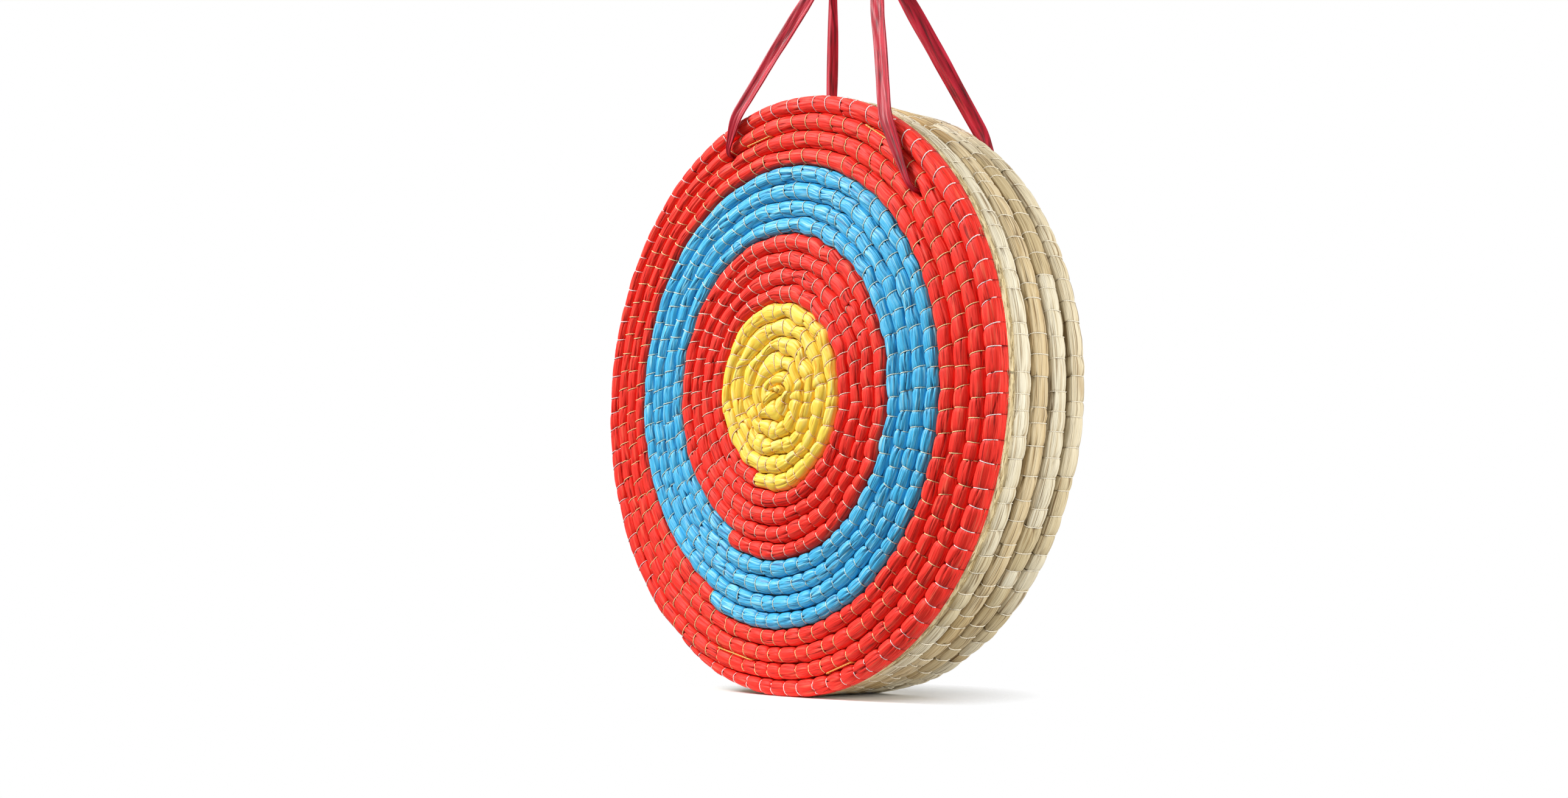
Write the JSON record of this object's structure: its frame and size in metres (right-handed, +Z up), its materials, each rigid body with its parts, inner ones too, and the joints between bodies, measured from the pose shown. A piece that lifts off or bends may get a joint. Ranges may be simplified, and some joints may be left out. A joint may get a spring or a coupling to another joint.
{
  "type": "archery target boss",
  "caption": "Round archery target of coiled straw rope in five tied layers, its face wrapped in coloured cloth rings, with two ribbon hanging loops.",
  "frame": {"origin": "on the floor, under the middle of the boss as it stands on its rim", "axes": "+Z up, +X to the right seen from the front, the coloured face towards -Y"},
  "size_m": [0.5, 0.1096, 0.6616],
  "materials": {
    "yellow_cloth": "matt woven cloth strip wound round the rope",
    "red_cloth": "matt woven cloth strip wound round the rope",
    "blue_cloth": "matt woven cloth strip wound round the rope",
    "bare_straw": "bare straw, rough",
    "pale_husk": "dry husk strips, satin",
    "tan_husk": "dry husk strips, satin",
    "back_husk": "dry husk strips, satin",
    "tie_cord": "twisted thread",
    "satin_ribbon": "satin ribbon, glossy"
  },
  "bodies": {
    "boss": {"yellow_winding": "yellow_cloth", "inner_red_winding": "red_cloth", "blue_winding": "blue_cloth", "outer_red_winding": "red_cloth", "front_straw_backing": "bare_straw", "second_layer_core": "pale_husk", "second_layer_rim_rope": "pale_husk", "third_layer_core": "tan_husk", "third_layer_rim_rope": "tan_husk", "fourth_layer_core": "pale_husk", "fourth_layer_rim_rope": "pale_husk", "back_coil": "back_husk", "top_left_tie": "tie_cord", "top_right_tie": "tie_cord", "bottom_left_tie": "tie_cord", "bottom_right_tie": "tie_cord"},
    "left_loop": {"left_ribbon": "satin_ribbon", "left_knot": "satin_ribbon"},
    "right_loop": {"right_ribbon": "satin_ribbon", "right_knot": "satin_ribbon"}
  },
  "joints": [
    {"name": "left_loop_swing", "type": "hinge", "parent": "boss", "child": "left_loop", "pos_m": [-0.06934, 0, 0.46095], "axis": [0, -1, 0], "range_deg": [0, 80]},
    {"name": "right_loop_swing", "type": "hinge", "parent": "boss", "child": "right_loop", "pos_m": [0.16225, 0, 0.39593], "axis": [0, 1, 0], "range_deg": [0, 120]}
  ]
}
